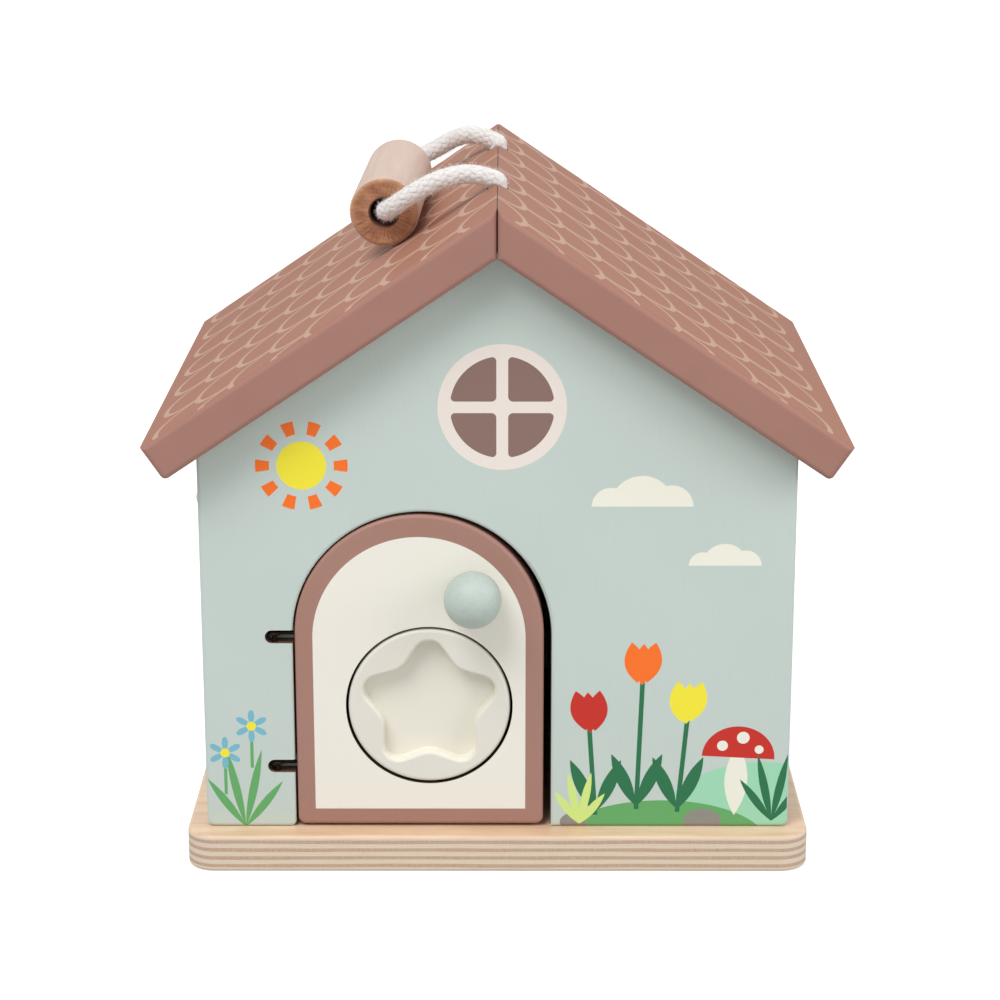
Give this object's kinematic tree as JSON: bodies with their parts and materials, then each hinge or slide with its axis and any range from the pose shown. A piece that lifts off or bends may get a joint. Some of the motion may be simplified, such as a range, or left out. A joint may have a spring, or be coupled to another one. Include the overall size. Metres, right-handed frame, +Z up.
{
  "type": "wooden activity house",
  "caption": "Small wooden play house with a hinged arched door, a turning star dial in the door, a side peg and a rope handle with a wooden grip over the roof.",
  "frame": {"origin": "centre of the base plate's underside, on the table", "axes": "+X to the house's right seen from the front, +Y to its back, +Z up"},
  "size_m": [0.216, 0.1898, 0.2187],
  "materials": {
    "birch_ply": "clear matt lacquer",
    "wall_paint": "satin paint",
    "roof_paint": "satin paint",
    "door_paint": "satin paint",
    "cream_paint": "satin paint",
    "knob_paint": "satin paint",
    "beech": "sanded, oiled",
    "steel": "zinc plated",
    "cotton_rope": "braided cotton"
  },
  "bodies": {
    "house": {"base_plate": "birch_ply", "front_wall": "wall_paint", "back_wall": "wall_paint", "left_wall": "wall_paint", "right_wall": "wall_paint", "roof_board_left": "roof_paint", "roof_board_right": "roof_paint", "wall_dowels": "beech", "roof_dowels": "beech", "base_screws": "steel", "hinge_rod": "steel", "side_peg": "cream_paint", "rope_tail_front": "cotton_rope", "rope_tail_back": "cotton_rope"},
    "door": {"door_panel": "door_paint", "door_knob": "knob_paint", "knob_screw": "steel", "hinge_eye_lower": "steel", "hinge_eye_upper": "steel", "dial_bridge": "beech", "bridge_screws": "steel"},
    "dial": {"star_dial": "cream_paint", "dial_screw": "steel", "dial_washer": "steel"},
    "handle": {"rope": "cotton_rope"},
    "grip_tube": {"grip": "beech"}
  },
  "joints": [
    {"name": "door_hinge", "type": "hinge", "parent": "house", "child": "door", "pos_m": [-0.0697, -0.07852, 0.06], "axis": [0, 0, -1], "range_deg": [0, 120]},
    {"name": "dial_spin", "type": "hinge", "parent": "door", "child": "dial", "pos_m": [-0.0214, -0.075, 0.0528], "axis": [0, 1, 0], "continuous": true},
    {"name": "handle_swing", "type": "hinge", "parent": "house", "child": "handle", "pos_m": [0, 0, 0.2122], "axis": [0, 1, 0], "range_deg": [0, 120]},
    {"name": "grip_spin", "type": "hinge", "parent": "handle", "child": "grip_tube", "pos_m": [-0.03462, 0.0005, 0.20228], "axis": [0.0304, 0.9993, 0.0205], "continuous": true}
  ]
}
